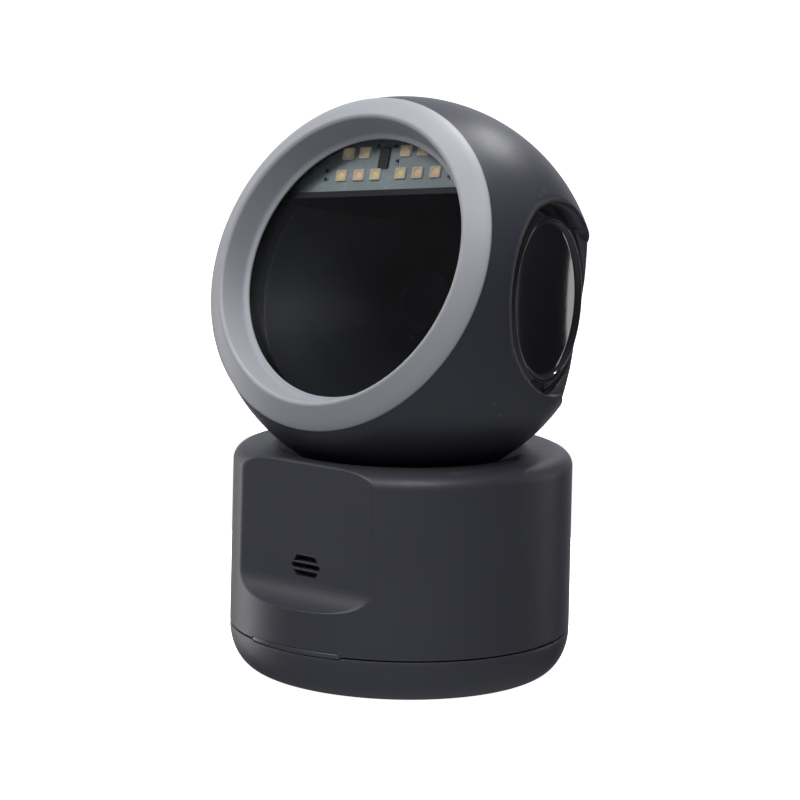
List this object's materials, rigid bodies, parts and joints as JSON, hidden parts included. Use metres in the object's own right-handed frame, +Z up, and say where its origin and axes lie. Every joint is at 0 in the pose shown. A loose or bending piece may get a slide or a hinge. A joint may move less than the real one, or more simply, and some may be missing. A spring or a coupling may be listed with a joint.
{
  "type": "desktop presentation barcode scanner",
  "caption": "Ball-head desktop presentation scanner: tilting round head with a ringed window, seated in a round weighted base.",
  "frame": {"origin": "centre of the underside, on the table plane that the round rubber pad stands on", "axes": "+Z up, -Y towards the front panel of the base, +X to the right when the scanner is seen from the front"},
  "size_m": [0.0948, 0.0921, 0.1474],
  "materials": {
    "shell_black": "fine moulded texture",
    "bezel_grey": "satin",
    "cap_gloss_black": "polished",
    "window_glass": "polished",
    "hood_black": "matte",
    "frame_black": "matte",
    "component_black": "satin",
    "light_pipe": "satin",
    "board_pale": "solder mask",
    "board_green": "solder mask",
    "led_cream": "satin",
    "label_silver": "blank label",
    "nylon_natural": "satin",
    "rubber_dark": "matte",
    "plated_steel": "zinc plated",
    "spring_brass": "satin",
    "contact_gold": "polished"
  },
  "bodies": {
    "base": {"base_upper_shell": "shell_black", "base_lower_cover": "shell_black", "status_light_pipe": "light_pipe", "status_led_board": "board_pale", "anti_slip_pad": "rubber_dark", "counterweight_plate": "plated_steel", "base_screws": "plated_steel", "bottom_label": "label_silver", "base_circuit_board": "board_green", "board_fixings": "plated_steel", "base_processor": "component_black", "harness_socket": "nylon_natural", "host_port": "component_black", "port_contacts": "contact_gold", "buzzer": "component_black", "glide_ring": "nylon_natural", "swivel_housing": "frame_black", "swivel_bushing": "nylon_natural", "housing_screws": "plated_steel"},
    "stem": {"neck_stem": "plated_steel", "stem_clip": "plated_steel", "wave_washer": "spring_brass", "swivel_stop": "plated_steel", "stem_harness": "rubber_dark", "clamp_washer": "nylon_natural", "clamp_spring": "spring_brass", "clamp_nut": "plated_steel"},
    "dish": {"clamp_dish": "frame_black"},
    "head": {"head_shell": "shell_black", "head_rear_cover": "shell_black", "rear_cover_screws": "plated_steel", "bezel_ring": "bezel_grey", "window_pane": "window_glass", "window_gasket": "rubber_dark", "light_hood": "hood_black", "illumination_board": "board_pale", "illumination_leds": "led_cream", "presence_sensor": "component_black", "hood_chassis": "frame_black", "chassis_screws": "plated_steel", "camera_body": "component_black", "lens_barrel": "hood_black", "lens_glass": "window_glass", "camera_standoffs": "spring_brass", "decoder_board": "board_green", "decoder_shield": "plated_steel", "board_screws": "plated_steel", "side_cap_right": "cap_gloss_black", "side_cap_left": "cap_gloss_black"}
  },
  "joints": [
    {"name": "head_swivel", "type": "hinge", "parent": "base", "child": "stem", "pos_m": [0, -0.0013, 0.0979], "axis": [0, 0, 1], "range_deg": [-45, 45]},
    {"name": "head_tilt", "type": "hinge", "parent": "stem", "child": "dish", "pos_m": [0, -0.0013, 0.0979], "axis": [-1, 0, 0], "range_deg": [-14.3, 11.7]},
    {"name": "head_roll", "type": "hinge", "parent": "dish", "child": "head", "pos_m": [0, -0.0013, 0.0979], "axis": [0, -0.9317, 0.3633], "range_deg": [-13.8, 2.2]}
  ]
}
